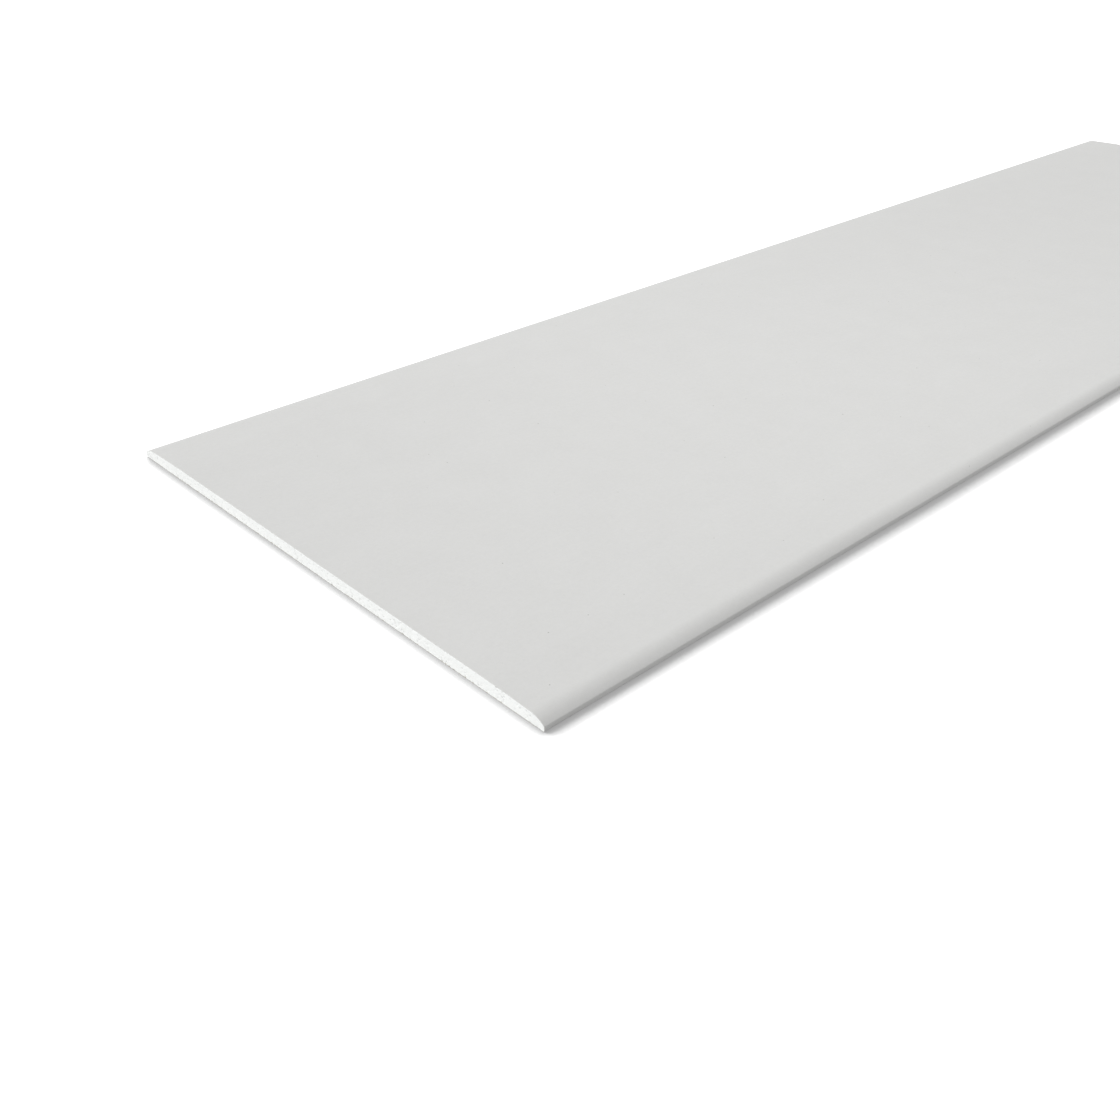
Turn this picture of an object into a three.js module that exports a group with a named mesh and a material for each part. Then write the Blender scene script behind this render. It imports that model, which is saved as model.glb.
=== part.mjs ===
// A drywall sheet: a gypsum board with half-round tapered long edges and square-cut ends.
//
// The board lies face up, as it is stored. +X runs along its length, +Y across its width and +Z up
// through its thickness. The origin is the centre of its underside. All sizes are in millimetres.
//
// It is three bonded pieces: the gypsum core, the face paper, which folds round both long edges and
// laps under the core, and the back paper, which is glued over the two laps.

import * as THREE from "three";

// The board, paper included.
const BOARD_LENGTH = 2000;
const BOARD_WIDTH = 600;
const BOARD_THICKNESS = 12.5;

// The liner papers.
const FACE_PAPER_THICKNESS = 0.3;
const BACK_PAPER_THICKNESS = 0.3;
const FACE_PAPER_LAP = 28; // from the long edge to where the folded face paper ends, underneath
const BACK_PAPER_MARGIN = 9; // from the long edge to where the back paper starts

// The long edge, from the flat of the face to the underside.
const TAPER_WIDTH = 60; // from the long edge to where the face starts to fall
const TAPER_DEPTH = 1.3; // how far the face has fallen where the nose starts
const TAPER_EASE_WIDTH = 12; // across the soft bend that leads from the flat face into the taper
const NOSE_WIDTH = 15; // from the long edge to where the taper runs into the nose
const LAND_HEIGHT = 5.2; // height at which the nose arc would meet the edge's upright land
const CREASE_RADIUS = 1.2; // between the nose and the land
const ARRIS_RADIUS = 1; // between the land and the underside

// Straight steps that stand for each bend of the long edge.
const EASE_STEPS = 4;
const NOSE_STEPS = 18;
const CREASE_STEPS = 5;
const ARRIS_STEPS = 6;

const QUARTER_TURN = Math.PI / 2;

// The bends of the long edge in order, as circular arcs in edge coordinates: x is the distance in from
// the long edge and y the height above the underside. Each arc leaves in the direction in which the
// next one starts, so straight lines between them are the taper, the land and the lap.
function longEdgeBends() {
  const taperAngle = Math.atan2(TAPER_DEPTH, TAPER_WIDTH - NOSE_WIDTH);
  const inward = new THREE.Vector2(Math.sin(taperAngle), -Math.cos(taperAngle));

  // The soft bend lies half on the flat face and half on the taper.
  const easeRadius = TAPER_EASE_WIDTH / 2 / Math.tan(taperAngle / 2);
  const easeCentre = new THREE.Vector2(
    TAPER_WIDTH + TAPER_EASE_WIDTH / 2,
    BOARD_THICKNESS - easeRadius,
  );

  // The nose is tangent to the taper at its foot and passes through the top of the land.
  const taperFoot = new THREE.Vector2(NOSE_WIDTH, BOARD_THICKNESS - TAPER_DEPTH);
  const footToLand = new THREE.Vector2(0, LAND_HEIGHT).sub(taperFoot);
  const noseRadius = footToLand.lengthSq() / (2 * footToLand.dot(inward));
  const noseCentre = taperFoot.clone().addScaledVector(inward, noseRadius);

  // The crease is a fillet that touches the nose from inside and the upright land.
  const creaseRise = Math.sqrt(
    (noseRadius - CREASE_RADIUS) ** 2 - (noseCentre.x - CREASE_RADIUS) ** 2,
  );
  const creaseCentre = new THREE.Vector2(CREASE_RADIUS, noseCentre.y + creaseRise);
  const creaseStart = creaseCentre.clone().sub(noseCentre).angle();

  const arrisCentre = new THREE.Vector2(ARRIS_RADIUS, BACK_PAPER_THICKNESS + ARRIS_RADIUS);

  return [
    {
      centre: easeCentre,
      radius: easeRadius,
      from: QUARTER_TURN,
      to: QUARTER_TURN + taperAngle,
      steps: EASE_STEPS,
    },
    {
      centre: noseCentre,
      radius: noseRadius,
      from: QUARTER_TURN + taperAngle,
      to: creaseStart,
      steps: NOSE_STEPS,
    },
    {
      centre: creaseCentre,
      radius: CREASE_RADIUS,
      from: creaseStart,
      to: 2 * QUARTER_TURN,
      steps: CREASE_STEPS,
    },
    {
      centre: arrisCentre,
      radius: ARRIS_RADIUS,
      from: 2 * QUARTER_TURN,
      to: 3 * QUARTER_TURN,
      steps: ARRIS_STEPS,
    },
  ];
}

// The line that the face paper's fold follows at a depth below its outer surface, from the flat of the
// face round one long edge to the end of the lap, in edge coordinates.
function foldLine(depth) {
  const bent = longEdgeBends().flatMap(({ centre, radius, from, to, steps }) => {
    const bentRadius = radius - depth;
    const arc = new THREE.EllipseCurve(centre.x, centre.y, bentRadius, bentRadius, from, to);
    return arc.getPoints(steps);
  });
  return [...bent, new THREE.Vector2(FACE_PAPER_LAP, BACK_PAPER_THICKNESS + depth)];
}

// Carries a point from edge coordinates to the board's section, whose x is across the width and whose
// y is up. side is +1 or -1, for the long edge at +Y or at -Y.
function atLongEdge(point, side) {
  return new THREE.Vector2(side * (BOARD_WIDTH / 2 - point.x), point.y);
}

// The same line across the whole board: from the lap at -Y, over the face, to the lap at +Y.
function wrapLine(depth) {
  const fold = foldLine(depth);
  return [
    ...fold.map((point) => atLongEdge(point, -1)).reverse(),
    ...fold.map((point) => atLongEdge(point, +1)),
  ];
}

// Runs a section along the full length of the board. The section's x, y and depth become the board's
// Y, Z and X, which only renames coordinates, so pieces that share an outline share its exact surface.
const SECTION_TO_BOARD = new THREE.Matrix4().set(
  0, 0, 1, 0,
  1, 0, 0, 0,
  0, 1, 0, 0,
  0, 0, 0, 1,
);

function boardLengthOf(name, outline, material) {
  const run = new THREE.ExtrudeGeometry(new THREE.Shape(outline), {
    depth: BOARD_LENGTH,
    bevelEnabled: false,
  });
  const piece = new THREE.Mesh(run.applyMatrix4(SECTION_TO_BOARD), material);
  piece.name = name;
  piece.position.x = -BOARD_LENGTH / 2;
  return piece;
}

// The gypsum core fills the fold and comes down between the laps to the back paper.
function gypsumCore() {
  const lapEnd = new THREE.Vector2(FACE_PAPER_LAP, BACK_PAPER_THICKNESS);
  const outline = [
    ...wrapLine(FACE_PAPER_THICKNESS),
    atLongEdge(lapEnd, +1),
    atLongEdge(lapEnd, -1),
  ];
  const plaster = new THREE.MeshStandardMaterial({ color: 0xf3f4f3, roughness: 0.95, metalness: 0 });
  return boardLengthOf("gypsum_core", outline, plaster);
}

// The face paper is one sheet, folded round both long edges.
function facePaper() {
  const outline = [...wrapLine(0), ...wrapLine(FACE_PAPER_THICKNESS).reverse()];
  const paleGrey = new THREE.MeshStandardMaterial({ color: 0xd7d8d5, roughness: 0.85, metalness: 0 });
  return boardLengthOf("face_paper", outline, paleGrey);
}

// The back paper is flat, and covers the inner part of each lap.
function backPaper() {
  const start = new THREE.Vector2(BACK_PAPER_MARGIN, 0);
  const startTop = new THREE.Vector2(BACK_PAPER_MARGIN, BACK_PAPER_THICKNESS);
  const outline = [
    atLongEdge(start, -1),
    atLongEdge(start, +1),
    atLongEdge(startTop, +1),
    atLongEdge(startTop, -1),
  ];
  const warmGrey = new THREE.MeshStandardMaterial({ color: 0xbfb9ad, roughness: 0.9, metalness: 0 });
  return boardLengthOf("back_paper", outline, warmGrey);
}

const drywallSheet = new THREE.Group();
drywallSheet.name = "drywall_sheet";
drywallSheet.add(gypsumCore(), facePaper(), backPaper());

export default drywallSheet;
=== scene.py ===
"""A drywall sheet that lies face up in a plain white studio.

The sheet is three bonded pieces: the folded face paper, the gypsum core with its two cut ends, and the
back paper. All lengths are in metres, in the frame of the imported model: +X runs along the sheet, +Y
across it and +Z up through it, and the origin is the centre of the underside.
"""

import logging
import math
from abc import ABC, abstractmethod
from dataclasses import dataclass
from enum import Enum
from functools import reduce

import bpy
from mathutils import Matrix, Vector


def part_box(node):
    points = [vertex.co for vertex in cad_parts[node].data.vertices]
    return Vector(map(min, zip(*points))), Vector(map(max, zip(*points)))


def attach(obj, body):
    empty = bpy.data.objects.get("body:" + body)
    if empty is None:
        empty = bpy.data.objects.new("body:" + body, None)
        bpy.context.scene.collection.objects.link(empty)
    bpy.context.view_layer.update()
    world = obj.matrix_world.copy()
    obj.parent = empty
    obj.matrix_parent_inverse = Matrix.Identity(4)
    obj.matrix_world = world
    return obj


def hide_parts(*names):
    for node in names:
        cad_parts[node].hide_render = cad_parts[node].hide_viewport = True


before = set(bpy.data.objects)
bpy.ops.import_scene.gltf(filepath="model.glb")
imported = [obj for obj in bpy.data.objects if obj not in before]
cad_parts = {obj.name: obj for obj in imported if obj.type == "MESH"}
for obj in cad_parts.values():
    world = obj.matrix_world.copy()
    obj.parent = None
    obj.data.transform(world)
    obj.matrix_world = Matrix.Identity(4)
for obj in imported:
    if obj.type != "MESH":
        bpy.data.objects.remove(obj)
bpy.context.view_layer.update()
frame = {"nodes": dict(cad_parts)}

MM = 0.001
SAME_PLACE = 0.0001 * MM  # two points closer than this are one

log = logging.getLogger("drywall_sheet")

Colour = tuple[float, float, float, float]
Point = tuple[float, float]


def display_colour(red: int, green: int, blue: int) -> Colour:
    """Turns a colour as a screen shows it into the linear one that a shader takes.

    Args:
        red: Red on the display's scale of 0 to 255.
        green: Green on the same scale.
        blue: Blue on the same scale.

    Returns:
        The linear colour, with an alpha of 1.
    """
    knee, toe, lift, power = 0.04045, 12.92, 0.055, 2.4  # the usual curve of a display
    shares = [channel / 255 for channel in (red, green, blue)]
    linear = [s / toe if s <= knee else ((s + lift) / (1 + lift)) ** power for s in shares]
    return (linear[0], linear[1], linear[2], 1.0)


# ---------------------------------------------------------------------------------------------------
# Node trees
# ---------------------------------------------------------------------------------------------------


class Slope(Enum):
    """How a step rises from 0 to 1."""

    EASED = "SMOOTHSTEP"
    EVEN = "LINEAR"


class Field:
    """A value that varies over a piece: a node's output, on which arithmetic adds further nodes."""

    def __init__(self, graph: "Graph", socket: bpy.types.NodeSocket) -> None:
        """Wraps a socket of a tree that is being built."""
        self.graph = graph
        self.socket = socket

    @property
    def kind(self) -> str:
        """The name that Geometry Nodes give this value's type: a vector or a plain number."""
        return "FLOAT_VECTOR" if self.socket.type == "VECTOR" else "FLOAT"

    def __add__(self, other: "Field | float") -> "Field":
        """The sum with another value."""
        return self.graph.math("ADD", self, other)

    def __sub__(self, other: "Field | float") -> "Field":
        """The difference from another value."""
        return self.graph.math("SUBTRACT", self, other)

    def __rsub__(self, other: float) -> "Field":
        """A plain number less this value."""
        return self.graph.math("SUBTRACT", other, self)

    def __mul__(self, other: "Field | float") -> "Field":
        """The product with another value."""
        return self.graph.math("MULTIPLY", self, other)

    def __truediv__(self, other: "Field | float") -> "Field":
        """The quotient by another value."""
        return self.graph.math("DIVIDE", self, other)

    def __rtruediv__(self, other: float) -> "Field":
        """A plain number divided by this value."""
        return self.graph.math("DIVIDE", other, self)

    def __pow__(self, other: "Field | float") -> "Field":
        """This value raised to a power."""
        return self.graph.math("POWER", self, other)

    def __abs__(self) -> "Field":
        """This value without its sign."""
        return self.graph.math("ABSOLUTE", self)

    def sign(self) -> "Field":
        """-1, 0 or +1, as this value is below, at or above nought."""
        return self.graph.math("SIGN", self)

    def root(self) -> "Field":
        """The square root, or nought for a value below nought."""
        return self.graph.math("SQRT", self.at_least(0.0))

    def rounded(self) -> "Field":
        """The nearest whole number."""
        return self.graph.math("ROUND", self)

    def at_least(self, other: "Field | float") -> "Field":
        """The greater of this value and another."""
        return self.graph.math("MAXIMUM", self, other)

    def at_most(self, other: "Field | float") -> "Field":
        """The lesser of this value and another."""
        return self.graph.math("MINIMUM", self, other)

    def between(self, low: float, high: float) -> "Field":
        """A share of 0 to 1 carried to the range between two numbers."""
        return self * (high - low) + low

    def ramp(
        self, start: "Field | float", end: "Field | float", slope: Slope = Slope.EASED
    ) -> "Field":
        """A step from 0 to 1.

        Args:
            start: The value at which it is 0.
            end: The value at which it is 1, which may be the lower one.
            slope: How it rises between them.

        Returns:
            The step.
        """
        inputs = {"Value": self, "From Min": start, "From Max": end}
        made = self.graph.node("ShaderNodeMapRange", inputs, interpolation_type=slope.value)
        return Field(self.graph, made.outputs["Result"])


Feed = Field | float | int | tuple | bpy.types.Material | bpy.types.NodeSocket


class Graph:
    """A node tree that is being built, with a short call for each usual node."""

    def __init__(self, tree: bpy.types.NodeTree) -> None:
        """Starts on an empty tree."""
        self.tree = tree

    def node(
        self, kind: str, inputs: dict[str | int, Feed] | None = None, **settings: str | int
    ) -> bpy.types.Node:
        """Adds a node.

        Args:
            kind: The node's type.
            inputs: What goes into its sockets, by the socket's name or number.
            **settings: The node's own options, such as its operation.

        Returns:
            The new node.
        """
        made = self.tree.nodes.new(kind)
        for name, value in settings.items():
            setattr(made, name, value)
        for key, value in (inputs or {}).items():
            if isinstance(value, Field):
                value = value.socket
            if isinstance(value, bpy.types.NodeSocket):
                self.tree.links.new(value, made.inputs[key])
            else:
                made.inputs[key].default_value = value
        return made

    def field(
        self, kind: str, inputs: dict[str | int, Feed] | None = None, **settings: str | int
    ) -> Field:
        """Adds a node and returns its first output."""
        return Field(self, self.node(kind, inputs, **settings).outputs[0])

    def math(self, operation: str, *values: Field | float) -> Field:
        """A Math node on one or two values."""
        return self.field("ShaderNodeMath", dict(enumerate(values)), operation=operation)

    def join(self, x: Field | float, y: Field | float, z: Field | float) -> Field:
        """A vector from three values."""
        return self.field("ShaderNodeCombineXYZ", {"X": x, "Y": y, "Z": z})

    def split(self, vector: Field) -> tuple[Field, Field, Field]:
        """The three values of a vector."""
        x, y, z = self.node("ShaderNodeSeparateXYZ", {0: vector}).outputs
        return Field(self, x), Field(self, y), Field(self, z)

    def stretched(self, vector: Field, x: float, y: float, z: float) -> Field:
        """A vector with each of its values multiplied, which draws a pattern out along one way."""
        return self.field("ShaderNodeVectorMath", {0: vector, 1: (x, y, z)}, operation="MULTIPLY")

    def noise(self, vector: Field, size: Field | float, detail: float, seed: Field | float) -> Field:
        """Soft noise of about -1 to 1, with blots of a size and as many finer layers as its detail."""
        inputs = {"Vector": vector, "W": seed, "Scale": 1.0 / size, "Detail": detail}
        return (self.field("ShaderNodeTexNoise", inputs, noise_dimensions="4D") - 0.5) * 2.0


class SurfaceGraph(Graph):
    """The node tree of a new material."""

    def __init__(self, name: str) -> None:
        """Starts an empty material.

        Args:
            name: The material's name.
        """
        self.material = bpy.data.materials.new(name)
        self.material.use_nodes = True
        self.material.node_tree.nodes.clear()
        super().__init__(self.material.node_tree)

    def attribute(self, name: str, output: str) -> Field:
        """What the piece keeps on its points under a name, as one of the outputs of its node."""
        return Field(self, self.node("ShaderNodeAttribute", attribute_name=name).outputs[output])

    def blend(self, factor: Field, first: Field | Colour, second: Field | Colour) -> Field:
        """A colour between two others, by a factor of 0 to 1."""
        made = self.node("ShaderNodeMix", {"Factor": factor, 6: first, 7: second}, data_type="RGBA")
        return Field(self, made.outputs[2])

    def cells(self, vector: Field, pitch: float) -> tuple[Field, Field]:
        """Points strewn over a plane, about one to a square of the pitch.

        Args:
            vector: Where on the plane.
            pitch: The side of the square, in metres.

        Returns:
            The distance to the nearest point, in pitches, and a chance of 0 to 1 that is its own.
        """
        inputs = {"Vector": vector, "Scale": 1 / pitch}
        made = self.node("ShaderNodeTexVoronoi", inputs, voronoi_dimensions="2D")
        chance = self.split(Field(self, made.outputs["Color"]))[0]
        return Field(self, made.outputs["Distance"]), chance

    def relief(self, height: Field, depth: float, strength: float) -> Field:
        """The surface's direction on fine relief whose height is 1 at that depth."""
        inputs = {"Strength": strength, "Distance": depth, "Height": height}
        return self.field("ShaderNodeBump", inputs)

    def matt(self, tone: Field, relief: Field, roughness: float, gloss: float) -> bpy.types.Material:
        """Covers the material with a matt surface, for which a gloss of 0.5 is usual, and returns it."""
        look = {"Base Color": tone, "Roughness": roughness, "Specular IOR Level": gloss}
        return self.covered(self.field("ShaderNodeBsdfPrincipled", {**look, "Normal": relief}))

    def covered(self, shader: Field) -> bpy.types.Material:
        """Makes a shader the surface of the material, and returns the material."""
        self.node("ShaderNodeOutputMaterial", {"Surface": shader})
        return self.material


class ShapeGraph(Graph):
    """A Geometry Nodes tree."""

    def position(self) -> Field:
        """Where each point is."""
        return self.field("GeometryNodeInputPosition")

    def kept(self, name: str) -> Field:
        """The number that each point keeps under a name."""
        return self.field("GeometryNodeInputNamedAttribute", {"Name": name}, data_type="FLOAT")

    def keep(self, geometry: Field, name: str, value: Field) -> Field:
        """Stores a value on the points of a geometry.

        Args:
            geometry: The geometry.
            name: The name that the value is kept under.
            value: What each point keeps.

        Returns:
            The geometry whose points keep it.
        """
        inputs = {"Geometry": geometry, "Name": name, "Value": value}
        return self.field(
            "GeometryNodeStoreNamedAttribute", inputs, data_type=value.kind, domain="POINT"
        )

    def sample(self, geometry: Field, index: Field, value: Field) -> Field:
        """A value at the point of a geometry that has that index."""
        inputs = {"Geometry": geometry, "Value": value, "Index": index}
        return self.field("GeometryNodeSampleIndex", inputs, data_type=value.kind, domain="POINT")


def seen(graph: Graph) -> Field:
    """1 for what the camera sees, also in a mirror or through glass, and 0 for other light.

    Args:
        graph: The tree of a material or of the world.

    Returns:
        The share.
    """
    path = graph.node("ShaderNodeLightPath")
    kinds = ("Camera", "Glossy", "Transmission")
    return reduce(Field.at_least, (Field(graph, path.outputs[f"Is {kind} Ray"]) for kind in kinds))


# ---------------------------------------------------------------------------------------------------
# Sizes and the section
# ---------------------------------------------------------------------------------------------------


@dataclass(frozen=True)
class SheetSizes:
    """The sheet's driving sizes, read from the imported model."""

    length: float
    width: float
    thickness: float
    face_ply: float
    back_ply: float
    back_margin: float

    @classmethod
    def from_frame(cls) -> "SheetSizes":
        """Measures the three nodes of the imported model.

        Returns:
            The sizes.
        """
        face_low, face_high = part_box("face_paper")
        _, core_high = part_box("gypsum_core")
        _, back_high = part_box("back_paper")
        return cls(
            length=face_high.x - face_low.x,
            width=face_high.y - face_low.y,
            thickness=face_high.z,
            face_ply=face_high.z - core_high.z,
            back_ply=back_high.z,
            back_margin=face_high.y - back_high.y,
        )


@dataclass(frozen=True)
class FoldPoint:
    """A point of the long edge's outer surface, with the direction that leads into the sheet.

    u is the distance in from the long edge and w the height above the underside.
    """

    u: float
    w: float
    inward_u: float
    inward_w: float

    def at_depth(self, depth: float) -> Point:
        """The point at a depth below this one."""
        return (self.u + self.inward_u * depth, self.w + self.inward_w * depth)

    def meets(self, other: "FoldPoint") -> bool:
        """Whether another point is at the same place."""
        return math.hypot(other.u - self.u, other.w - self.w) < SAME_PLACE

    def straight_to(self, end: "FoldPoint", pitch: float) -> "list[FoldPoint]":
        """The points strictly between this one and the end of a straight stretch.

        Args:
            end: The end of the stretch.
            pitch: The widest step between two points.

        Returns:
            The points in order, each with this one's direction.
        """
        length = math.hypot(end.u - self.u, end.w - self.w)
        steps = max(1, math.ceil(length / pitch))
        shares = [step / steps for step in range(1, steps)]
        return [
            FoldPoint(self.u + (end.u - self.u) * share, self.w + (end.w - self.w) * share,
                      self.inward_u, self.inward_w)
            for share in shares
        ]


@dataclass(frozen=True)
class Bend:
    """A round stretch of the long edge: an arc in u and w, with its angles in radians."""

    centre_u: float
    centre_w: float
    radius: float
    start: float
    end: float

    def points(self, steps: int) -> list[FoldPoint]:
        """The points of the bend.

        Args:
            steps: How many equal steps it is cut into.

        Returns:
            Its points, from its start to its end.
        """
        found = []
        for step in range(steps + 1):
            angle = self.start + (self.end - self.start) * step / steps
            out_u, out_w = math.cos(angle), math.sin(angle)
            u, w = self.centre_u + self.radius * out_u, self.centre_w + self.radius * out_w
            found.append(FoldPoint(u, w, -out_u, -out_w))
        return found


@dataclass(frozen=True)
class LongEdge:
    """The half-round tapered long edge, from the flat of the face to the end of the lap underneath."""

    sheet: SheetSizes
    taper_width: float = 60 * MM
    taper_depth: float = 1.3 * MM
    taper_ease_width: float = 12 * MM
    nose_width: float = 15 * MM
    land_height: float = 5.2 * MM
    crease_radius: float = 1.2 * MM
    arris_radius: float = 1 * MM
    lap: float = 28 * MM
    fewest_steps: int = 4  # on any bend

    def bends(self) -> list[Bend]:
        """The round stretches of the edge, each of which leaves in the direction of the next.

        Returns:
            In order, the ease into the taper, the nose, the crease above the land, and the arris.
        """
        top = self.sheet.thickness
        slope = math.atan2(self.taper_depth, self.taper_width - self.nose_width)
        quarter = math.pi / 2
        ease_radius = self.taper_ease_width / 2 / math.tan(slope / 2)

        inward = Vector((math.sin(slope), -math.cos(slope)))
        foot = Vector((self.nose_width, top - self.taper_depth))
        drop = Vector((0, self.land_height)) - foot
        nose_radius = drop.length_squared / (2 * drop.dot(inward))
        nose = foot + inward * nose_radius

        rise = math.sqrt((nose_radius - self.crease_radius) ** 2 - (nose.x - self.crease_radius) ** 2)
        crease = Vector((self.crease_radius, nose.y + rise))
        turn = math.atan2(crease.y - nose.y, crease.x - nose.x)
        arris_w = self.sheet.back_ply + self.arris_radius

        return [
            Bend(self.taper_width + self.taper_ease_width / 2, top - ease_radius, ease_radius,
                 quarter, quarter + slope),
            Bend(nose.x, nose.y, nose_radius, quarter + slope, turn),
            Bend(crease.x, crease.y, self.crease_radius, turn, math.pi),
            Bend(self.arris_radius, arris_w, self.arris_radius, math.pi, 3 * quarter),
        ]

    def fold(self, pitch: float) -> list[FoldPoint]:
        """The outer surface of the long edge, from the flat of the face to the end of the lap.

        Args:
            pitch: The widest step between two points.

        Returns:
            The points, no two of them at the same place.
        """
        points: list[FoldPoint] = []
        for bend in self.bends():
            steps = max(self.fewest_steps, math.ceil(bend.radius * (bend.end - bend.start) / pitch))
            arc = bend.points(steps)
            if points and points[-1].meets(arc[0]):
                points.pop()
            points += points[-1].straight_to(arc[0], pitch) if points else []
            points += arc
        lap_end = FoldPoint(self.lap, self.sheet.back_ply, 0, 1)
        return [*points, *points[-1].straight_to(lap_end, pitch), lap_end]

    def over(self, pitch: float) -> list[FoldPoint]:
        """The part of the fold above the land: the ease into the taper, the taper, nose and crease."""
        _, _, crease, _ = self.bends()
        return [point for point in self.fold(pitch) if point.w >= crease.centre_w - SAME_PLACE]

    def core_underside(self, u: float) -> float:
        """The core's lower surface, which steps up at the lap and turns up at the arris.

        Args:
            u: The distance in from the long edge.

        Returns:
            The height there.
        """
        on_back = self.sheet.back_ply
        on_lap = on_back + self.sheet.face_ply
        radius = self.arris_radius - self.sheet.face_ply
        short = max(0.0, self.arris_radius - u)
        rise = radius - math.sqrt(max(0.0, radius**2 - short**2))
        return on_back if u > self.lap else on_lap + rise


def across(edge_line: list[Point], width: float, pitch: float) -> list[Point]:
    """Carries a line of the long edge to both edges and joins the two with a flat stretch.

    Args:
        edge_line: Points (u, w), from the flat outwards.
        width: The sheet's full width.
        pitch: The widest step on the flat stretch.

    Returns:
        Points (y, z), from the -Y edge to the +Y edge.
    """
    at_minus = [(u - width / 2, w) for u, w in reversed(edge_line)]
    at_plus = [(width / 2 - u, w) for u, w in edge_line]
    (from_y, level), (to_y, _) = at_minus[-1], at_plus[0]
    steps = math.ceil((to_y - from_y) / pitch)
    flat = [(from_y + (to_y - from_y) * step / steps, level) for step in range(1, steps)]
    return [*at_minus, *flat, *at_plus]


def height_at(line: list[Point], u: float) -> float:
    """The height of a line at a distance from the long edge.

    Args:
        line: Points (u, w), in falling order of u.
        u: The distance.

    Returns:
        The height w, or that of the line's nearer end where u is beyond it.
    """
    for (far_u, far_w), (near_u, near_w) in zip(line, line[1:]):
        if near_u <= u <= far_u:
            share = (u - near_u) / max(far_u - near_u, SAME_PLACE)
            return near_w + (far_w - near_w) * share
    return line[0][1] if u > line[0][0] else line[-1][1]


# ---------------------------------------------------------------------------------------------------
# Finishes
# ---------------------------------------------------------------------------------------------------


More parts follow.
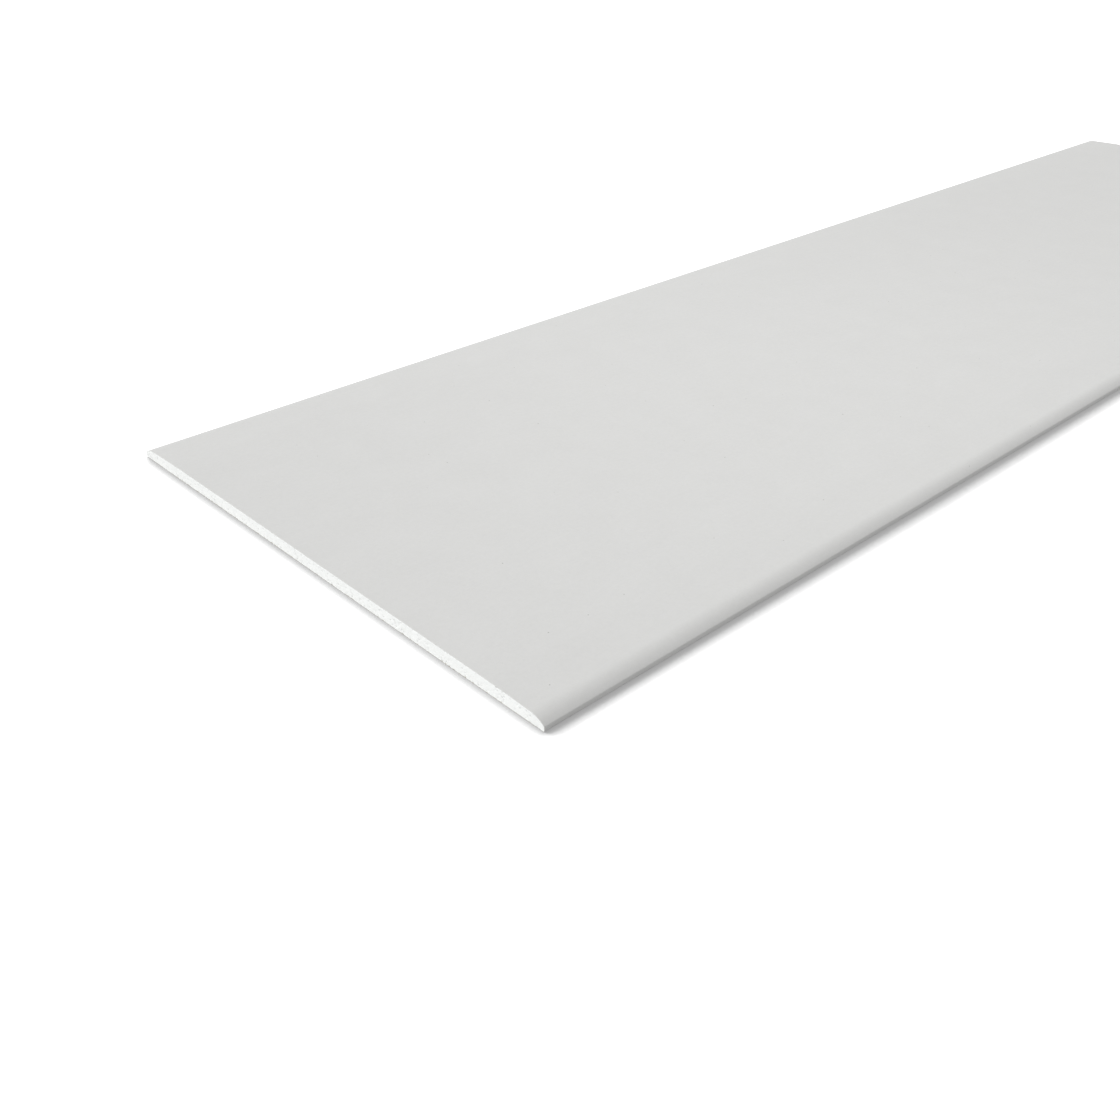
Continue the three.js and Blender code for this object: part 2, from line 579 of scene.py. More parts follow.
@dataclass(frozen=True)
class PaperFinish:
    """Matt liner paper: felted fibres, faint streaks along the web, and a few flecks and hairs.

    It reads the attribute `sheet`: along the paper, across it, and 0 to 1 through it.
    """

    name: str
    tone: Colour
    dark_tone: Colour
    fleck_tone: Colour
    ply_tone: Colour  # on the cut edge, where the plies show
    ply_rim: tuple[float, float] = (0.02, 0.3)  # of the way inside, over which that tone comes in
    mottle: float = 1.0  # how strongly the shades below show
    cloud_size: float = 45 * MM
    cloud_shade: float = 0.1
    floc_size: float = 3.5 * MM
    floc_shade: float = 0.14
    streak_width: float = 1.6 * MM
    streak_stretch: float = 50.0  # how much longer than wide
    streak_shade: float = 0.08
    fibre_length: float = 2.2 * MM
    fibre_width: float = 0.24 * MM
    fibre_lay: tuple[float, ...] = (0, 32, -38, 78)  # degrees from the web's length
    fibre_shade: float = 0.25
    felt_middle: float = 0.25  # what the highest layer of fibres comes to on average
    felt_gain: float = 1.6  # brings the mat of fibres back to about -1 to 1
    felt_depth: float = 0.05 * MM
    felt_strength: float = 0.5  # of the relief, 1 being its true depth
    floc_height: float = 0.5  # in parts of the felt's depth
    hair_height: float = 0.5
    fleck_pitch: float = 42 * MM
    fleck_radius: float = 0.8 * MM
    speck_pitch: float = 7 * MM
    speck_radius: float = 0.16 * MM
    speck_share: float = 0.7
    ragged_size: float = 0.7  # of the ragged outline's teeth, in radii of the largest spot
    ragged_depth: float = 0.35
    bare_share: float = 0.55  # of the squares of the pitch that hold no fleck or speck
    hair_curl: float = 9 * MM
    hair_width: float = 0.012  # in the height of the noise whose level line it is
    hair_gap: float = 5 * MM
    hair_shown: tuple[float, float] = (0.42, 0.5)  # where the noise of the gaps lets hairs through
    hair_share: float = 0.5
    roughness: float = 0.82
    gloss: float = 0.35

    def build(self) -> bpy.types.Material:
        """Makes the material.

        Returns:
            The finished material.
        """
        graph = SurfaceGraph(self.name)
        along, across_web, through = graph.split(graph.attribute("sheet", "Vector"))
        web = graph.join(along, across_web, 0.0)

        clouds = graph.noise(web, self.cloud_size, detail=3.0, seed=1.0)
        flocs = graph.noise(web, self.floc_size, detail=2.0, seed=2.0)
        drawn = graph.stretched(web, 1.0 / self.streak_stretch, 1.0, 0.0)
        streaks = graph.noise(drawn, self.streak_width, detail=2.0, seed=3.0)
        felt = self.felt(graph, along, across_web)
        shade = (
            clouds * self.cloud_shade
            + flocs * self.floc_shade
            + streaks * self.streak_shade
            + felt * self.fibre_shade
        )
        shade = (shade * self.mottle + 0.5).at_least(0.0).at_most(1.0)
        tone = graph.blend(shade, self.dark_tone, self.tone)

        hairs = self.hairs(graph, web)
        flecks = self.spots(graph, web, self.fleck_pitch, self.fleck_radius)
        specks = self.spots(graph, web, self.speck_pitch, self.speck_radius)
        marks = flecks.at_least(specks * self.speck_share).at_least(hairs * self.hair_share)
        tone = graph.blend(marks, tone, self.fleck_tone)

        inside = through * (1.0 - through) * 4.0  # 0 on both faces and 1 halfway through
        tone = graph.blend(inside.ramp(*self.ply_rim), tone, self.ply_tone)
        height = felt + hairs * self.hair_height + flocs * self.floc_height
        relief = graph.relief(height, self.felt_depth, self.felt_strength)
        return graph.matt(tone, relief, self.roughness, self.gloss)

    def felt(self, graph: SurfaceGraph, along: Field, across_web: Field) -> Field:
        """The mat of short fibres: a drawn-out noise for each way that fibres lie, the highest on top.

        Args:
            graph: The material's tree.
            along: How far along the paper.
            across_web: How far across it.

        Returns:
            The height of the mat, about -1 to 1.
        """
        layers = []
        for number, lay in enumerate(self.fibre_lay):
            turn = math.radians(lay)
            down = along * math.cos(turn) + across_web * math.sin(turn)
            over = across_web * math.cos(turn) - along * math.sin(turn)
            drawn = graph.join(down * (self.fibre_width / self.fibre_length), over, 0.0)
            layers.append(graph.noise(drawn, self.fibre_width, detail=1.0, seed=11.0 + number))
        return (reduce(Field.at_least, layers) - self.felt_middle) * self.felt_gain

    def spots(self, graph: SurfaceGraph, web: Field, pitch: float, largest: float) -> Field:
        """Dark spots of recycled fibre, of many sizes and with ragged outlines.

        Args:
            graph: The material's tree.
            web: Where on the paper.
            pitch: The side of the square that holds one spot on average, or none.
            largest: The largest radius of a spot.

        Returns:
            1 on a spot and 0 off it.
        """
        distance, chance = graph.cells(web, pitch)
        radius = (chance - self.bare_share).at_least(0.0) * (largest / (1.0 - self.bare_share))
        depth = self.ragged_depth * largest
        ragged = graph.noise(web, self.ragged_size * largest, detail=1.0, seed=5.0) * depth
        return ((radius - distance * pitch + ragged) / depth).ramp(0.0, 1.0)

    def hairs(self, graph: SurfaceGraph, web: Field) -> Field:
        """Short curved fibres: thin level lines of a noise, broken up by another noise.

        Args:
            graph: The material's tree.
            web: Where on the paper.

        Returns:
            1 on a fibre and 0 off it.
        """
        level = graph.noise(web, self.hair_curl, detail=0.0, seed=7.0)
        line = abs(level).ramp(self.hair_width, self.hair_width / 3)
        gaps = graph.noise(web, self.hair_gap, detail=1.0, seed=9.0)
        return line * gaps.ramp(*self.hair_shown)


@dataclass(frozen=True)
class PlasterFinish:
    """Bare gypsum plaster: matt and white, with a fine grain and pinholes, and painted shade in its
    pores and pinholes.

    It reads Object coordinates and the attribute `pit`: how far a place lies behind the cut.
    """

    name: str
    tone: Colour
    dust_tone: Colour
    # the colour of the painted shade in deep places of the cut and in the pinholes
    painted_shade_tone: Colour
    cloud_size: float = 18 * MM
    cloud_shade: float = 0.35
    grain_size: float = 0.3 * MM
    grain_shade: float = 0.9
    grain_depth: float = 0.09 * MM
    grain_strength: float = 1.0  # of the relief, 1 being its true depth
    score_width: float = 0.25 * MM
    score_stretch: float = 20.0  # how much longer than wide
    score_shade: float = 0.3
    score_height: float = 0.4  # in parts of the grain's depth
    pore_depth: float = 0.55 * MM
    pore_rim: float = 0.15  # of the depth, above which a pore has no painted shade
    # how far the deepest places go towards the painted shade tone
    pore_shade: float = 0.6
    pinhole_pitches: tuple[float, ...] = (0.5 * MM, 1.3 * MM)
    pinhole_share: float = 0.22  # the largest one's radius, in pitches
    pinhole_height: float = 1.5  # its depth, in parts of the grain's
    pinhole_wall: float = 0.8  # how far in from its rim it deepens, in its radii
    bare_share: float = 0.45  # of the squares of a pitch that hold only the smallest pinhole
    bare_size: float = 0.01  # what stands for nought there
    roughness: float = 0.95
    gloss: float = 0.2

    def build(self) -> bpy.types.Material:
        """Makes the material.

        Returns:
            The finished material.
        """
        graph = SurfaceGraph(self.name)
        place = Field(graph, graph.node("ShaderNodeTexCoord").outputs["Object"])
        depth = graph.attribute("pit", "Fac")

        clouds = graph.noise(place, self.cloud_size, detail=3.0, seed=1.0)
        grain = graph.noise(place, self.grain_size, detail=4.0, seed=2.0)
        drawn = graph.stretched(place, 1.0, 1.0 / self.score_stretch, 1.0)
        scores = graph.noise(drawn, self.score_width, detail=1.0, seed=3.0)
        dust = clouds * self.cloud_shade + grain * self.grain_shade + scores * self.score_shade + 0.5
        tone = graph.blend(dust.at_least(0.0).at_most(1.0), self.tone, self.dust_tone)

        # painted shade: deep places behind the cut, and the pinholes, are darkened towards the painted
        # shade tone
        pinholes = self.pinholes(graph, place)
        painted_pit_shade = depth.ramp(self.pore_rim * self.pore_depth, self.pore_depth)
        tone = graph.blend((painted_pit_shade * self.pore_shade).at_least(pinholes), tone, self.painted_shade_tone)
        height = grain + scores * self.score_height - pinholes * self.pinhole_height
        relief = graph.relief(height, self.grain_depth, self.grain_strength)
        return graph.matt(tone, relief, self.roughness, self.gloss)

    def pinholes(self, graph: SurfaceGraph, place: Field) -> Field:
        """Tiny round bowls in the cut, at most one to a square of each pitch, drawn as relief and as
        painted shade.

        Args:
            graph: The material's tree.
            place: Where on the cut.

        Returns:
            0 outside a bowl, and up to 1 towards its middle.
        """
        _, y, z = graph.split(place)
        cut = graph.join(y, z, 0.0)
        holes = []
        for pitch in self.pinhole_pitches:
            distance, chance = graph.cells(cut, pitch)
            size = (chance - self.bare_share).at_least(self.bare_size)
            radius = size * (self.pinhole_share / (1.0 - self.bare_share))
            holes.append(((radius - distance) / radius).ramp(0.0, self.pinhole_wall))
        return reduce(Field.at_least, holes)


@dataclass(frozen=True)
class FloorFinish:
    """A white floor that shows as pure white, yet keeps the shadow of what lies on it, deepened by a
    painted contact shadow.

    The light that it gives back is that of a plain surface. Where it is seen it is lifted to white, and
    a painted contact shadow darkens it close to what stands on it, in a band that widens with the
    distance from a corner.
    """

    name: str = "studio_floor"
    albedo: float = 0.47
    glow: float = 0.99  # which is added where the floor is seen
    # how dark the painted contact shadow is at its darkest
    painted_contact_shadow: float = 0.685
    contact_reach: tuple[float, float] = (15.8 * MM, 21.8 * MM)  # at the corner, and away from it
    contact_cover: tuple[float, float] = (0.42, 0.295)  # of the floor's view, at the full shade
    contact_lean: tuple[float, float, float] = (0.0, 1.5, 1.0)  # which way the floor looks for it
    contact_rays: int = 10
    widening: float = 0.5  # how far along the sheet the band is at its widest
    widening_across: float = 0.3  # how much a step across the sheet counts, in steps along it

    def build(self, corner: Vector) -> bpy.types.Material:
        """Makes the material.

        Args:
            corner: Where the painted shadow's band is narrowest.

        Returns:
            The finished material.
        """
        graph = SurfaceGraph(self.name)
        plain = graph.field("ShaderNodeBsdfDiffuse", {"Color": (self.albedo,) * 3 + (1.0,)})

        # painted contact shadow: ambient occlusion, with a reach that grows away from the corner,
        # darkens the floor where it is seen
        x, y, _ = graph.split(Field(graph, graph.node("ShaderNodeTexCoord").outputs["Object"]))
        steps = x - corner.x + (y - corner.y) * self.widening_across
        away = steps.ramp(0.0, self.widening, Slope.EVEN)
        lean = Vector(self.contact_lean).normalized()
        towards = graph.join(lean.x, lean.y, lean.z)
        painted_shadow_occlusion = graph.node(
            "ShaderNodeAmbientOcclusion",
            {"Distance": away.between(*self.contact_reach), "Normal": towards},
            samples=self.contact_rays,
        )
        full = 1.0 - away.between(*self.contact_cover)
        covered = Field(graph, painted_shadow_occlusion.outputs["AO"]).ramp(1.0, full, Slope.EVEN)
        # kept is what the painted contact shadow leaves of the floor's seen brightness
        kept = 1.0 - covered * self.painted_contact_shadow
        grey = kept * self.albedo
        lit = graph.field("ShaderNodeBsdfDiffuse", {"Color": graph.join(grey, grey, grey)})
        glow = graph.field("ShaderNodeEmission", {"Strength": kept * self.glow})
        shown = graph.field("ShaderNodeAddShader", {0: lit, 1: glow})
        return graph.covered(graph.field("ShaderNodeMixShader", {0: seen(graph), 1: plain, 2: shown}))


FACE_LINER = PaperFinish(
    name="face_liner",
    tone=display_colour(226, 226, 225),
    dark_tone=display_colour(206, 206, 204),
    fleck_tone=display_colour(176, 176, 172),
    ply_tone=display_colour(200, 200, 196),
)
BACK_LINER = PaperFinish(
    name="back_liner",
    tone=display_colour(200, 194, 182),
    dark_tone=display_colour(172, 165, 152),
    fleck_tone=display_colour(128, 120, 106),
    ply_tone=display_colour(152, 147, 137),
    mottle=1.2,
    fleck_pitch=20 * MM,
    speck_pitch=4 * MM,
    roughness=0.88,
)
BARE_GYPSUM = PlasterFinish(
    name="bare_gypsum",
    tone=display_colour(243, 245, 243),
    dust_tone=display_colour(248, 249, 248),
    # painted shade in deep places of the cut and in the pinholes
    painted_shade_tone=display_colour(205, 207, 205),
)


# ---------------------------------------------------------------------------------------------------
# Pieces
# ---------------------------------------------------------------------------------------------------


class Socket(Enum):
    """The kinds of named input that a Geometry Nodes tree here takes."""

    GEOMETRY = "NodeSocketGeometry"
    NUMBER = "NodeSocketFloat"
    COUNT = "NodeSocketInt"
    MATERIAL = "NodeSocketMaterial"

    @classmethod
    def taking(cls, value: float | int | bpy.types.Material) -> "Socket":
        """The kind that takes a value.

        Args:
            value: What goes into the input.

        Returns:
            The kind.
        """
        if isinstance(value, bpy.types.Material):
            return cls.MATERIAL
        return cls.COUNT if isinstance(value, int) else cls.NUMBER


@dataclass(frozen=True)
class CutPlace:
    """A place on a cut end: y, z, which end (-1 or +1), and 0 to 1 from the lower to the upper line."""

    y: Field
    z: Field
    side: Field
    level: Field

    def at(self, graph: ShapeGraph) -> Field:
        """The place as a vector for a noise, which makes the two ends differ."""
        return graph.join(self.side, self.y, self.z)


@dataclass(kw_only=True)
class SectionRun(ABC):
    """A piece whose section runs along the whole sheet and ends at two cut ends.

    A Geometry Nodes tree takes two lines of points, the lower and the upper side of the section, fills
    the space between them, runs it along the sheet and works the two cut ends.
    """

    sheet: SheetSizes
    name: str
    node: str
    slot: str
    finish: PaperFinish | PlasterFinish
    stations: int  # points along the sheet
    rows: int  # points through the section
    seed: int
    recess: float  # from the end of the sheet to the middle of the cut's relief
    pitch: float  # the widest step between two points of a line
    crowding: float = 5.0  # how much closer the stations stand towards the ends
    sharp_angle: float = 40.0  # degrees, from which an edge isn't shaded smooth

    @abstractmethod
    def lines(self) -> tuple[list[Point], list[Point]]:
        """The lower and the upper line of the section, with as many points each."""

    @abstractmethod
    def cut_sizes(self) -> dict[str, float]:
        """The sizes of the cut ends, by the names of the tree's inputs."""

    @abstractmethod
    def relief(self, graph: ShapeGraph, inputs: dict[str, Field], place: CutPlace) -> Field:
        """How far behind the recess the cut end lies at a place on it."""

    def build(self) -> bpy.types.Object:
        """Makes the piece and fits it to the frame.

        Returns:
            The finished object, a plain mesh at the origin.
        """
        mesh, columns = self.section_mesh()
        piece = bpy.data.objects.new(self.name, mesh)
        bpy.context.scene.collection.objects.link(piece)
        values = {
            "Length": self.sheet.length,
            "Columns": columns,
            "Rows": self.rows,
            "Stations": self.stations,
            "Crowding": self.crowding,
            "Seed": self.seed,
            "Finish": self.finish.build(),
            "Recess": self.recess,
            **self.cut_sizes(),
        }
        tree = self.tree(values)
        modifier = piece.modifiers.new(self.name, "NODES")
        modifier.node_group = tree
        for item in tree.interface.items_tree:
            if item.in_out == "INPUT" and item.name in values:
                modifier[item.identifier] = values[item.name]

        self.make_plain(piece)
        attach(piece, "root")
        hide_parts(self.node)
        return piece

    def section_mesh(self) -> tuple[bpy.types.Mesh, int]:
        """The two lines as loose points, with how far along the section each one lies.

        Returns:
            The mesh, and how many points each line has.
        """
        lower, upper = self.lines()
        mesh = bpy.data.meshes.new(self.name)
        mesh.from_pydata([(0.0, y, z) for y, z in [*lower, *upper]], [], [])
        developed: list[float] = []
        for line in (lower, upper):
            steps = [math.dist(a, b) for a, b in zip(line, line[1:])]
            run = -sum(steps) / 2
            developed.append(run)
            for step in steps:
                run += step
                developed.append(run)
        mesh.attributes.new("developed", "FLOAT", "POINT").data.foreach_set("value", developed)
        return mesh, len(lower)

    def make_plain(self, piece: bpy.types.Object) -> None:
        """Turns what the modifier makes into the piece's own mesh and removes the modifier.

        Args:
            piece: The object with the modifier.
        """
        graph = bpy.context.evaluated_depsgraph_get()
        solid = bpy.data.meshes.new_from_object(
            piece.evaluated_get(graph), preserve_all_data_layers=True, depsgraph=graph
        )
        piece.modifiers.clear()
        piece.data = solid
        solid.set_sharp_from_angle(angle=math.radians(self.sharp_angle))

    def tree(self, values: dict[str, float | int | bpy.types.Material]) -> bpy.types.NodeTree:
        """The Geometry Nodes tree of the piece.

        Args:
            values: What goes into its inputs, by their names.

        Returns:
            The tree, with a named input for each of the values.
        """
        tree = bpy.data.node_groups.new(self.name, "GeometryNodeTree")
        graph = ShapeGraph(tree)
        tree.interface.new_socket("Section", in_out="INPUT", socket_type=Socket.GEOMETRY.value)
        for name, value in values.items():
            tree.interface.new_socket(name, in_out="INPUT", socket_type=Socket.taking(value).value)
        tree.interface.new_socket("Piece", in_out="OUTPUT", socket_type=Socket.GEOMETRY.value)
        outputs = graph.node("NodeGroupInput").outputs
        inputs = {socket.name: Field(graph, socket) for socket in outputs if socket.name}

        solid = self.run(graph, inputs)
        solid = graph.field("GeometryNodeRealizeInstances", {0: solid})
        solid = graph.field("GeometryNodeSetShadeSmooth", {0: solid})
        solid = graph.field("GeometryNodeSetMaterial", {"Geometry": solid, "Material": inputs["Finish"]})
        graph.node("NodeGroupOutput", {"Piece": solid})
        return tree

    def run(self, graph: ShapeGraph, inputs: dict[str, Field]) -> Field:
        """A closed block, moved so that its section follows the two lines and its ends are cut.

        Args:
            graph: The tree.
            inputs: The tree's named inputs.

        Returns:
            The block, whose points keep their place on the unfolded sheet and the depth of the cut.
        """
        counts = {"X": inputs["Stations"], "Y": inputs["Columns"], "Z": inputs["Rows"]}
        vertices = {f"Vertices {axis}": count for axis, count in counts.items()}
        block = graph.field("GeometryNodeMeshCube", vertices)
        unit_x, unit_y, unit_z = graph.split(graph.position())
        column = ((unit_y + 0.5) * (inputs["Columns"] - 1.0)).rounded()
        level = unit_z + 0.5
        y, z, developed = self.on_section(graph, inputs, column, level)

        side = unit_x.sign()
        from_end = 1.0 - abs(unit_x) * 2.0
        along = 1.0 - from_end ** inputs["Crowding"]
        pit = self.relief(graph, inputs, CutPlace(y, z, side, level))
        x = side * (inputs["Length"] * 0.5 - (inputs["Recess"] + pit)) * along

        block = graph.keep(block, "sheet", graph.join(x, developed, level))
        block = graph.keep(block, "pit", pit)
        place = graph.join(x, y, z)
        return graph.field("GeometryNodeSetPosition", {"Geometry": block, "Position": place})

    def on_section(
        self, graph: ShapeGraph, inputs: dict[str, Field], column: Field, level: Field
    ) -> tuple[Field, Field, Field]:
        """A place on the section.

        Args:
            graph: The tree.
            inputs: The tree's named inputs.
            column: Which point along the two lines.
            level: 0 on the lower line, 1 on the upper one.

        Returns:
            Its y and z, and how far along the section it lies.
        """
        point = graph.position()
        developed = graph.kept("developed")
        found = []
        for index in (column, column + inputs["Columns"]):
            _, y, z = graph.split(graph.sample(inputs["Section"], index, point))
            found.append((y, z, graph.sample(inputs["Section"], index, developed)))
        return tuple(low + (high - low) * level for low, high in zip(*found))


@dataclass(kw_only=True)
class LinerPaper(SectionRun):
    """A liner paper, whose cut edges wander a little and are nicked here and there."""

    rows: int = 2
    stations: int = 12
    recess: float = 0.34 * MM
    wander_depth: float
    wander_size: float = 6 * MM
    nick_depth: float
    nick_size: float = 3.5 * MM
    nicks_shown: tuple[float, float] = (0.45, 0.75)  # where the noise of the nicks cuts in

    def cut_sizes(self) -> dict[str, float]:
        """The sizes of the cut edges, by the names of the tree's inputs.

        Returns:
            The sizes.
        """
        return {
            "Wander Depth": self.wander_depth,
            "Wander Size": self.wander_size,
            "Nick Depth": self.nick_depth,
            "Nick Size": self.nick_size,
        }

    def relief(self, graph: ShapeGraph, inputs: dict[str, Field], place: CutPlace) -> Field:
        """How far behind the recess the cut edge lies.

        Args:
            graph: The piece's tree.
            inputs: The tree's named inputs.
            place: Where on the cut edge.

        Returns:
            The depth, which is below nought where the edge stands proud.
        """
        at = place.at(graph)
        seed = inputs["Seed"]
        wander = graph.noise(at, inputs["Wander Size"], detail=3.0, seed=seed)
        nicks = graph.noise(at, inputs["Nick Size"], detail=1.0, seed=seed + 0.5)
        nicked = nicks.ramp(*self.nicks_shown)
        return wander * inputs["Wander Depth"] + nicked * inputs["Nick Depth"]


@dataclass(kw_only=True)
class FacePaper(LinerPaper):
    """The face paper: one sheet, folded round both long edges."""

    edge: LongEdge
    name: str = "folded_face_paper"
    node: str = "face_paper"
    slot: str = "face_paper"
    finish: PaperFinish = FACE_LINER
    seed: int = 11
    pitch: float = 0.6 * MM
    wander_depth: float = 0.1 * MM
    nick_depth: float = 0.4 * MM

    def lines(self) -> tuple[list[Point], list[Point]]:
        """The two sides of the paper.

        Returns:
            The side that is glued to the core, and the outer side.
        """
        fold = self.edge.fold(self.pitch)
        glued = [point.at_depth(self.sheet.face_ply) for point in fold]
        outer = [(point.u, point.w) for point in fold]
        width = self.sheet.width
        return across(glued, width, self.pitch), across(outer, width, self.pitch)


@dataclass(kw_only=True)
class BackPaper(LinerPaper):
    """The back paper: flat, and glued over the two laps of the face paper."""

    name: str = "glued_back_paper"
    node: str = "back_paper"
    slot: str = "back_paper"
    finish: PaperFinish = BACK_LINER
    seed: int = 37
    pitch: float = 0.8 * MM
    wander_depth: float = 0.08 * MM
    nick_depth: float = 0.2 * MM

    def lines(self) -> tuple[list[Point], list[Point]]:
        """The two sides of the paper.

        Returns:
            The underside, and the side that is glued to the core.
        """
        start = self.sheet.width / 2 - self.sheet.back_margin
        steps = math.ceil(2 * start / self.pitch)
        ys = [start * (2 * step / steps - 1) for step in range(steps + 1)]
        return [(y, 0.0) for y in ys], [(y, self.sheet.back_ply) for y in ys]


@dataclass(kw_only=True)
class GypsumCore(SectionRun):
    """The gypsum core, whose cut ends show saw marks, pores and crumbled arrises."""

    edge: LongEdge
    name: str = "sawn_gypsum_core"
    node: str = "gypsum_core"
    slot: str = "gypsum"
    finish: PlasterFinish = BARE_GYPSUM
    stations: int = 2
    rows: int = 31
    seed: int = 23
    pitch: float = 0.42 * MM
    recess: float = 0.35 * MM
    lap_step: float = 0.04 * MM  # how far across the underside steps down at the end of a lap
    saw_depth: float = 0.05 * MM
    saw_size: float = 1.1 * MM
    saw_stretch: float = 25.0  # how much longer than wide a saw mark is
    grain_depth: float = 0.05 * MM
    grain_size: float = 1.3 * MM
    crumble_depth: float = 0.32 * MM
    crumble_size: float = 1.8 * MM
    crumble_stretch: float = 2.0
    crumble_share: float = 0.14  # of the half thickness, next to the paper
    crumbs_shown: tuple[float, float] = (0.05, 0.3)  # where the noise of the crumbs cuts in
    pore_share: float = 0.65  # of a bubble's depth, that the saw leaves open
    pores_per_area: float = 180000.0
    smallest_pore: float = 0.25 * MM
    largest_pore: float = 0.95 * MM
    pore_crowding: float = 3.0  # how strongly the pores crowd at the smallest size

    def lines(self) -> tuple[list[Point], list[Point]]:
        """The two sides of the core.

        Returns:
            The underside, with its step at the end of each lap, and the upper side.
        """
        over = [point.at_depth(self.sheet.face_ply) for point in self.edge.over(self.pitch)]
        half_step = self.lap_step / 2
        step_places = {self.edge.lap - half_step, self.edge.lap + half_step}
        places = sorted({u for u, _ in over} | step_places, reverse=True)
        upper = [(u, height_at(over, u)) for u in places]
        lower = [(u, self.edge.core_underside(u)) for u in places]
        width = self.sheet.width
        return across(lower, width, self.pitch), across(upper, width, self.pitch)

    def cut_sizes(self) -> dict[str, float]:
        """The sizes of the cut ends, by the names of the tree's inputs.

        Returns:
            The sizes.
        """
        return {
            "Saw Depth": self.saw_depth,
            "Saw Size": self.saw_size,
            "Grain Depth": self.grain_depth,
            "Grain Size": self.grain_size,
            "Crumble Depth": self.crumble_depth,
            "Crumble Size": self.crumble_size,
            "Crumble Share": self.crumble_share,
            "Pore Share": self.pore_share,
            "Pores Per Area": self.pores_per_area,
            "Smallest Pore": self.smallest_pore,
            "Largest Pore": self.largest_pore,
            "Width": self.sheet.width,
            "Thickness": self.sheet.thickness,
        }

    def relief(self, graph: ShapeGraph, inputs: dict[str, Field], place: CutPlace) -> Field:
        """How far behind the recess the cut lies, by all that the saw and the bubbles leave on it.

        Args:
            graph: The piece's tree.
            inputs: The tree's named inputs.
            place: Where on the cut.

        Returns:
            The depth, which is below nought where the plaster stands proud.
        """
        at = place.at(graph)
        seed = inputs["Seed"]
        sawn = graph.stretched(at, 1.0, 1.0 / self.saw_stretch, 1.0)
        saw = graph.noise(sawn, inputs["Saw Size"], detail=1.0, seed=seed)
        grain = graph.noise(at, inputs["Grain Size"], detail=2.0, seed=seed + 0.3)
        broken = graph.stretched(at, 1.0, 1.0 / self.crumble_stretch, 1.0)
        crumbs = graph.noise(broken, inputs["Crumble Size"], detail=2.0, seed=seed + 0.6)
        by_paper = abs(place.level * 2.0 - 1.0).ramp(1.0 - inputs["Crumble Share"], 1.0)
        return (
            saw * inputs["Saw Depth"]
            + grain * inputs["Grain Depth"]
            + self.pores(graph, inputs, place) * inputs["Pore Share"]
            + by_paper * crumbs.ramp(*self.crumbs_shown) * inputs["Crumble Depth"]
        )

    def pores(self, graph: ShapeGraph, inputs: dict[str, Field], place: CutPlace) -> Field:
        """Round pores, as if the saw had gone through the middles of bubbles strewn over the cut.

        Args:
            graph: The piece's tree.
            inputs: The tree's named inputs.
            place: Where on the cut.

        Returns:
            How far below the cut the place lies in the bubble nearest to it, or nought outside it.
        """
        both_ends = {"Size X": inputs["Width"] * 2.0, "Size Y": inputs["Thickness"]}
        plane = graph.field("GeometryNodeMeshGrid", {**both_ends, "Vertices X": 2, "Vertices Y": 2})
        bubbles = graph.field(
            "GeometryNodeDistributePointsOnFaces",
            {"Mesh": plane, "Density": inputs["Pores Per Area"], "Seed": inputs["Seed"]},
        )
        chance = graph.node("FunctionNodeRandomValue", {"Seed": inputs["Seed"]}, data_type="FLOAT")
        share = Field(graph, chance.outputs[1]) ** self.pore_crowding
        radius = inputs["Smallest Pore"] + share * (inputs["Largest Pore"] - inputs["Smallest Pore"])
        bubbles = graph.keep(bubbles, "radius", radius)

        at_y = place.y + place.side * inputs["Width"] * 0.5
        at_z = place.z - inputs["Thickness"] * 0.5
        nearest = graph.field(
            "GeometryNodeSampleNearest",
            {"Geometry": bubbles, "Sample Position": graph.join(at_y, at_z, 0.0)},
            domain="POINT",
        )
        centre_y, centre_z, _ = graph.split(graph.sample(bubbles, nearest, graph.position()))
        radius = graph.sample(bubbles, nearest, graph.kept("radius"))
        off = (centre_y - at_y) ** 2.0 + (centre_z - at_z) ** 2.0
        return (radius * radius - off).root()


# ---------------------------------------------------------------------------------------------------
# Studio
# ---------------------------------------------------------------------------------------------------


@dataclass(frozen=True)
class SoftLamp:
    """A large, far lamp. Share is how brightly it lights a surface that faces it, 1 being plain light.

    Its azimuth is counted from +X towards +Y, and it and the elevation say where the light comes from.
    """

    name: str
    azimuth: float
    elevation: float
    share: float
    spread: float

    def build(self) -> bpy.types.Object:
        """Makes the lamp.

        Returns:
            The lamp's object.
        """
        data = bpy.data.lights.new(self.name, "SUN")
        data.energy = self.share * math.pi
        data.angle = math.radians(self.spread)
        lamp = bpy.data.objects.new(self.name, data)
        azimuth, elevation = math.radians(self.azimuth), math.radians(self.elevation)
        towards = Vector((
            math.cos(azimuth) * math.cos(elevation),
            math.sin(azimuth) * math.cos(elevation),
            math.sin(elevation),
        ))
        lamp.rotation_euler = towards.to_track_quat("Z", "Y").to_euler()
        bpy.context.scene.collection.objects.link(lamp)
        return lamp


@dataclass(frozen=True)
class PanelLamp:
    """A square lamp near the sheet. Share is how brightly it lights the spot that it is aimed at."""

    name: str
    place: tuple[float, float, float]
    aim: tuple[float, float, float]
    share: float
    size: float

    def build(self) -> bpy.types.Object:
        """Makes the lamp at its place and turns it to its aim.

        Returns:
            The lamp's object.
        """
        data = bpy.data.lights.new(self.name, "AREA")
        data.size = self.size
        lamp = bpy.data.objects.new(self.name, data)
        lamp.location = self.place
        away = Vector(self.place) - Vector(self.aim)
        data.energy = self.share * math.pi**2 * away.length_squared
        lamp.rotation_euler = away.to_track_quat("Z", "Y").to_euler()
        lamp.visible_camera = False
        bpy.context.scene.collection.objects.link(lamp)
        return lamp


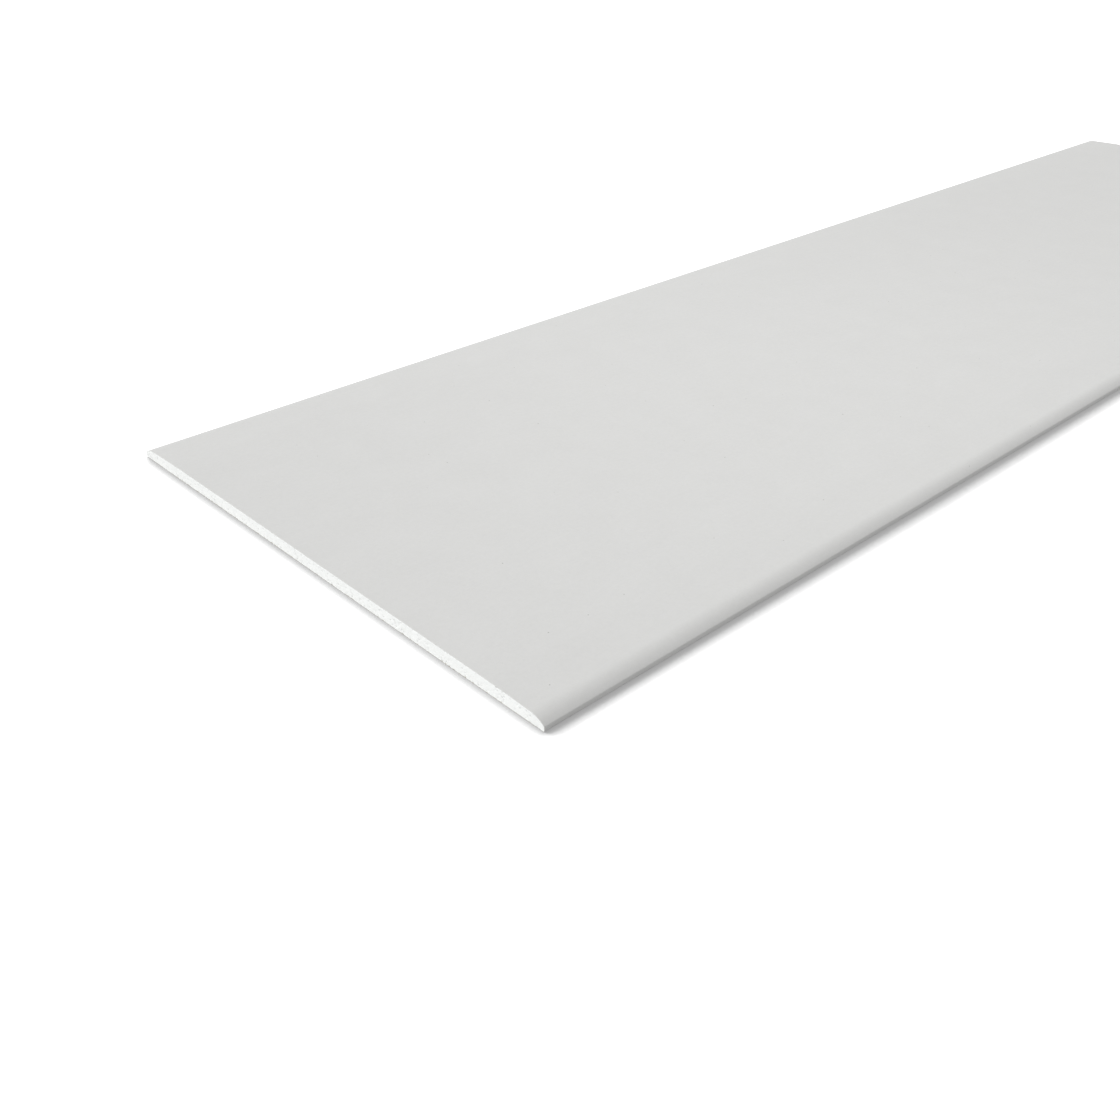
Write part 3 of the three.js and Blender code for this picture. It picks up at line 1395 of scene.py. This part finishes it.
@dataclass(frozen=True)
class CameraPlace:
    """Where the camera stands, counted from the sheet's nearest corner as the camera looks at it.

    The heading is in degrees from +X towards +Y, and the pitch in degrees below the level.
    """

    heading: float = 46.884
    pitch: float = 31.518
    right: float = 11.4 * MM
    back: float = 676.1 * MM
    up: float = 559.5 * MM
    lens: float = 39.13
    sensor: float = 36.0
    nearest: float = 10 * MM

    def build(self, corner: Vector) -> bpy.types.Object:
        """Makes the scene's camera.

        Args:
            corner: The sheet's nearest corner.

        Returns:
            The camera's object.
        """
        heading, pitch = math.radians(self.heading), math.radians(self.pitch)
        ahead = Vector((math.cos(heading), math.sin(heading), 0))
        right = Vector((math.sin(heading), -math.cos(heading), 0))
        data = bpy.data.cameras.new("camera")
        data.sensor_width = self.sensor
        data.lens = self.lens
        data.clip_start = self.nearest
        camera = bpy.data.objects.new("camera", data)
        camera.location = corner + right * self.right - ahead * self.back + Vector((0, 0, self.up))
        look = ahead * math.cos(pitch) - Vector((0, 0, math.sin(pitch)))
        camera.rotation_euler = look.to_track_quat("-Z", "Y").to_euler()
        bpy.context.scene.collection.objects.link(camera)
        bpy.context.scene.camera = camera
        return camera


@dataclass
class Studio:
    """The white floor and surroundings, the lamps and the camera."""

    sheet: SheetSizes
    camera: CameraPlace = CameraPlace()
    floor_finish: FloorFinish = FloorFinish()
    floor_size: float = 40.0
    surround: float = 0.6
    lamps: tuple[SoftLamp | PanelLamp, ...] = (
        SoftLamp("key_lamp", azimuth=150, elevation=31, share=0.67, spread=40),
        PanelLamp("top_lamp", place=(-0.4, 0.0, 0.9), aim=(-0.4, 0.0, 0), share=0.09, size=0.5),
    )

    def build(self) -> None:
        """Sets up everything round the sheet."""
        corner = Vector((-self.sheet.length / 2, -self.sheet.width / 2, 0))
        self.build_floor(corner)
        self.build_surround()
        for lamp in self.lamps:
            lamp.build()
        self.camera.build(corner)
        bpy.context.scene.view_settings.view_transform = "Standard"

    def build_floor(self, corner: Vector) -> bpy.types.Object:
        """A wide flat floor under the sheet.

        Args:
            corner: The sheet's nearest corner.

        Returns:
            The floor's object.
        """
        half = self.floor_size / 2
        corners = [(-half, -half, 0), (half, -half, 0), (half, half, 0), (-half, half, 0)]
        mesh = bpy.data.meshes.new("floor")
        mesh.from_pydata(corners, [], [(0, 1, 2, 3)])
        mesh.materials.append(self.floor_finish.build(corner))
        floor = bpy.data.objects.new("floor", mesh)
        bpy.context.scene.collection.objects.link(floor)
        return floor

    def build_surround(self) -> bpy.types.World:
        """Even light from all round, which shows as white where it is seen.

        Returns:
            The scene's world.
        """
        world = bpy.data.worlds.new("surround")
        world.use_nodes = True
        world.node_tree.nodes.clear()
        graph = Graph(world.node_tree)
        strength = seen(graph) * (1.0 - self.surround) + self.surround
        glow = graph.field("ShaderNodeBackground", {"Color": (1, 1, 1, 1), "Strength": strength})
        graph.node("ShaderNodeOutputWorld", {"Surface": glow})
        bpy.context.scene.world = world
        return world


def main() -> None:
    """Builds the three bonded pieces of the sheet, then the studio round them."""
    logging.basicConfig(level=logging.INFO, format="%(name)s: %(message)s")
    log.info("nodes of the frame: %s", ", ".join(frame["nodes"]))
    sheet = SheetSizes.from_frame()
    log.info("%s", sheet)
    edge = LongEdge(sheet)
    pieces = (
        FacePaper(sheet=sheet, edge=edge),
        GypsumCore(sheet=sheet, edge=edge),
        BackPaper(sheet=sheet),
    )
    for piece in pieces:
        made = piece.build()
        log.info("%s: %d faces", made.name, len(made.data.polygons))
    Studio(sheet).build()


if __name__ == "__main__":
    main()
